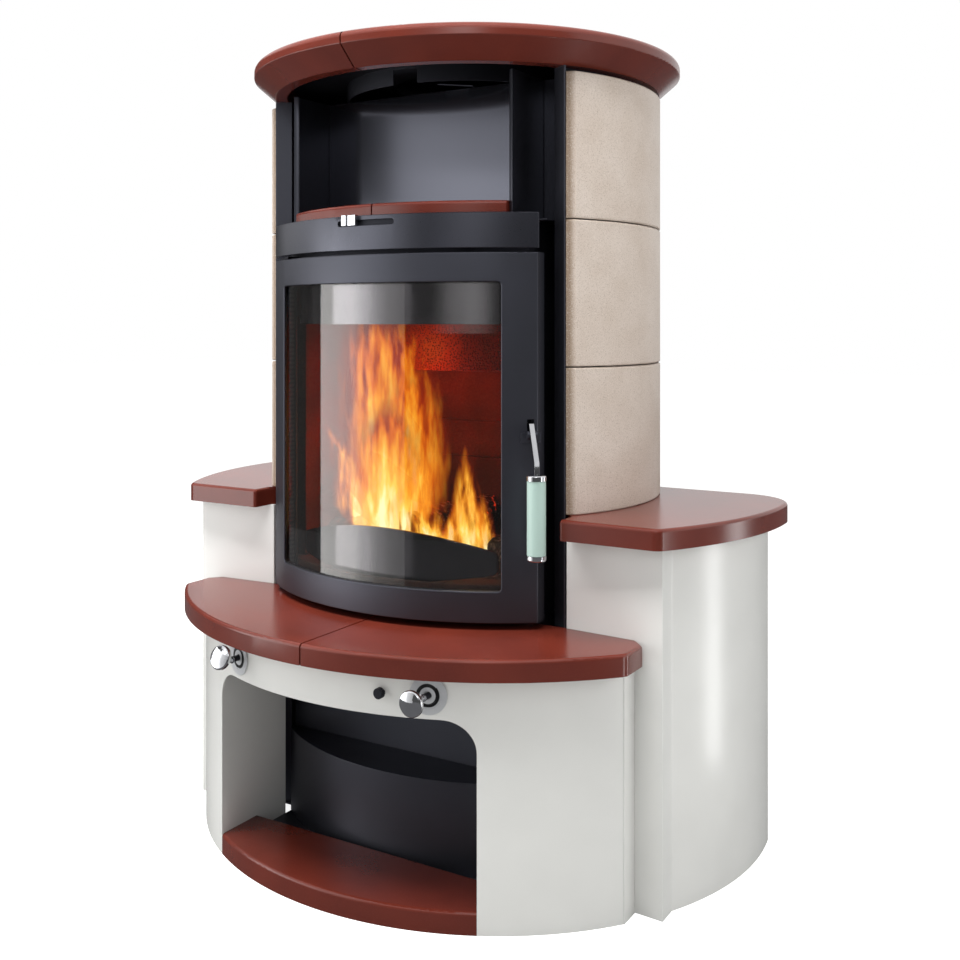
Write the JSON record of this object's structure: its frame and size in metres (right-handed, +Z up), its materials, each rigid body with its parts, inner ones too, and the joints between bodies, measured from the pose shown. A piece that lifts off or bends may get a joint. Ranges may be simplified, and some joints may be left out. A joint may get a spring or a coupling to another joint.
{
  "type": "tiled wood stove",
  "caption": "Tall rounded wood stove with tiled sides, curved glass door, warming niche, glazed slabs and a white bench with a log store.",
  "frame": {"origin": "on the floor under the centre of the round top plate, at the middle foot", "axes": "+Z up, -Y towards the front, +X towards the side with the door handle"},
  "size_m": [1.176, 0.777, 1.42],
  "materials": {
    "glazed_brown": "gloss",
    "tile_beige": "satin",
    "white_lacquer": "satin",
    "black_steel": "satin",
    "bright_steel": "satin",
    "chrome": "polished",
    "door_glass": "gloss",
    "frosted_glass": "satin",
    "firebrick": "matte",
    "porous_ceramic": "matte",
    "cast_iron": "matte",
    "rope_seal": "matte",
    "zinc_steel": "satin"
  },
  "bodies": {
    "stove": {"top_plate_left": "glazed_brown", "top_plate_right": "glazed_brown", "niche_slabs": "glazed_brown", "bench_slab_left": "glazed_brown", "bench_slab_right": "glazed_brown", "wing_slab_left": "glazed_brown", "wing_slab_right": "glazed_brown", "store_plate": "glazed_brown", "tiles_left": "tile_beige", "tiles_right": "tile_beige", "bench_shell": "white_lacquer", "wing_shells": "white_lacquer", "columns": "black_steel", "tile_carriers": "black_steel", "rear_casing": "zinc_steel", "casing_screws": "zinc_steel", "flue_spigot": "black_steel", "smoke_collector": "black_steel", "top_ring": "black_steel", "top_lid": "black_steel", "niche_cheeks": "black_steel", "niche_back": "black_steel", "recess_panels": "black_steel", "firebox_body": "black_steel", "cover_panel": "black_steel", "front_brackets": "black_steel", "hinge_pins": "bright_steel", "airwash_deflector": "bright_steel", "store_lining": "black_steel", "store_drum": "black_steel", "pedestal": "black_steel", "floor_tray": "black_steel", "levelling_feet": "zinc_steel", "side_linings": "firebrick", "rear_lining": "firebrick", "hearth_bricks": "firebrick", "baffle_plate": "firebrick", "filter_block": "porous_ceramic", "grate": "cast_iron", "ash_pan": "zinc_steel", "log_guard": "black_steel", "rosettes": "bright_steel"},
    "door": {"door_frame": "black_steel", "door_seals": "rope_seal", "door_glass": "door_glass", "glass_frame": "black_steel", "frame_screws": "zinc_steel", "handle_bracket": "black_steel"},
    "handle": {"handle_lever": "bright_steel", "handle_pin": "bright_steel", "handle_grip": "frosted_glass", "grip_caps": "chrome"},
    "air_left": {"air_control_left": "black_steel", "control_knob_left": "chrome"},
    "air_right": {"air_control_right": "black_steel", "control_knob_right": "chrome"},
    "top_slider": {"air_slider": "chrome"},
    "pull": {"pull_knob": "black_steel"}
  },
  "joints": [
    {"name": "door_swing", "type": "hinge", "parent": "stove", "child": "door", "pos_m": [-0.27, -0.226, 0.75], "axis": [0, 0, -1], "range_deg": [0, 100]},
    {"name": "handle_lift", "type": "hinge", "parent": "door", "child": "handle", "pos_m": [0.27647, -0.25542, 0.754], "axis": [-0.7825, -0.6227, 0], "range_deg": [0, 25]},
    {"name": "left_air", "type": "hinge", "parent": "stove", "child": "air_left", "pos_m": [-0.192, -0.43726, 0.365], "axis": [0, 1, 0], "range_deg": [0, 120]},
    {"name": "right_air", "type": "hinge", "parent": "stove", "child": "air_right", "pos_m": [0.192, -0.43726, 0.365], "axis": [0, 1, 0], "range_deg": [0, 120]},
    {"name": "top_air", "type": "hinge", "parent": "stove", "child": "top_slider", "pos_m": [0, 0.092, 1.1075], "axis": [0, 0, 1], "range_deg": [-3.2, 10]},
    {"name": "pull_out", "type": "slide", "parent": "stove", "child": "pull", "axis": [0, -1, 0], "range_m": [0, 0.03]}
  ]
}
